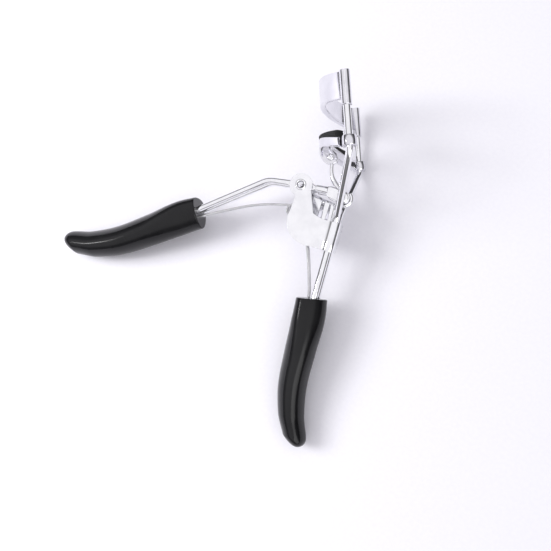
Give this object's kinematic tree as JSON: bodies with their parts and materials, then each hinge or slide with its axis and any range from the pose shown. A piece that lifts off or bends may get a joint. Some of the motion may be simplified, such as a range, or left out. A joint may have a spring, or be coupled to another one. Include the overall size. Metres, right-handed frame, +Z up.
{
  "type": "eyelash curler",
  "caption": "Scissor-action eyelash curler with a curved upper jaw, a padded sliding lower jaw, wire frame, hinged lever and two moulded grips.",
  "frame": {"origin": "bottom centre of the bounding box, with the lever's pivot upright and the handles open", "axes": "+Z up, along the lever's pivot; +Y along the guide rods towards the upper jaw; the jaws bulge towards -X"},
  "size_m": [0.1016, 0.1108, 0.0392],
  "materials": {
    "chrome_wire": "bright plated wire",
    "chrome_sheet": "bright plated stamping",
    "spring_wire": "bright spring wire",
    "black_plastic": "gloss moulded",
    "black_rubber": "matte"
  },
  "bodies": {
    "frame": {"guide_rod_near": "chrome_wire", "guide_rod_far": "chrome_wire", "upper_jaw": "chrome_sheet", "pivot_bracket": "chrome_sheet", "pivot_rivet": "chrome_sheet", "pivot_spacer": "chrome_sheet", "pivot_washer_near": "chrome_sheet", "pivot_washer_far": "chrome_sheet", "return_spring_frame_leg": "spring_wire", "frame_grip": "black_plastic"},
    "lever": {"lever_wire_near": "chrome_wire", "lever_wire_far": "chrome_wire", "link_pin": "chrome_wire", "return_spring_lever_leg": "spring_wire", "lever_grip": "black_plastic"},
    "link": {"link": "chrome_wire"},
    "carrier": {"lower_jaw": "chrome_sheet", "jaw_pin": "chrome_wire", "jaw_pad": "black_rubber"}
  },
  "joints": [
    {"name": "lever_pivot", "type": "hinge", "parent": "frame", "child": "lever", "pos_m": [0.03216, 0.02472, 0.0196], "axis": [0, 0, 1], "range_deg": [0, 36.5], "stiffness_Nm_per_rad": 0.1, "springref_deg": -34.38},
    {"name": "jaw_slide", "type": "slide", "parent": "frame", "child": "carrier", "axis": [0, 1, 0], "range_m": [0, 0.0084]},
    {"name": "link_swing", "type": "hinge", "parent": "lever", "child": "link", "pos_m": [0.04466, 0.01962, 0.0196], "axis": [0, 0, 1], "range_deg": [-34, 0]}
  ],
  "couplings": [
    {"joint": "jaw_slide", "follows": "lever_pivot", "m_per_rad": 0.013},
    {"joint": "link_swing", "follows": "lever_pivot", "ratio": -0.88}
  ]
}
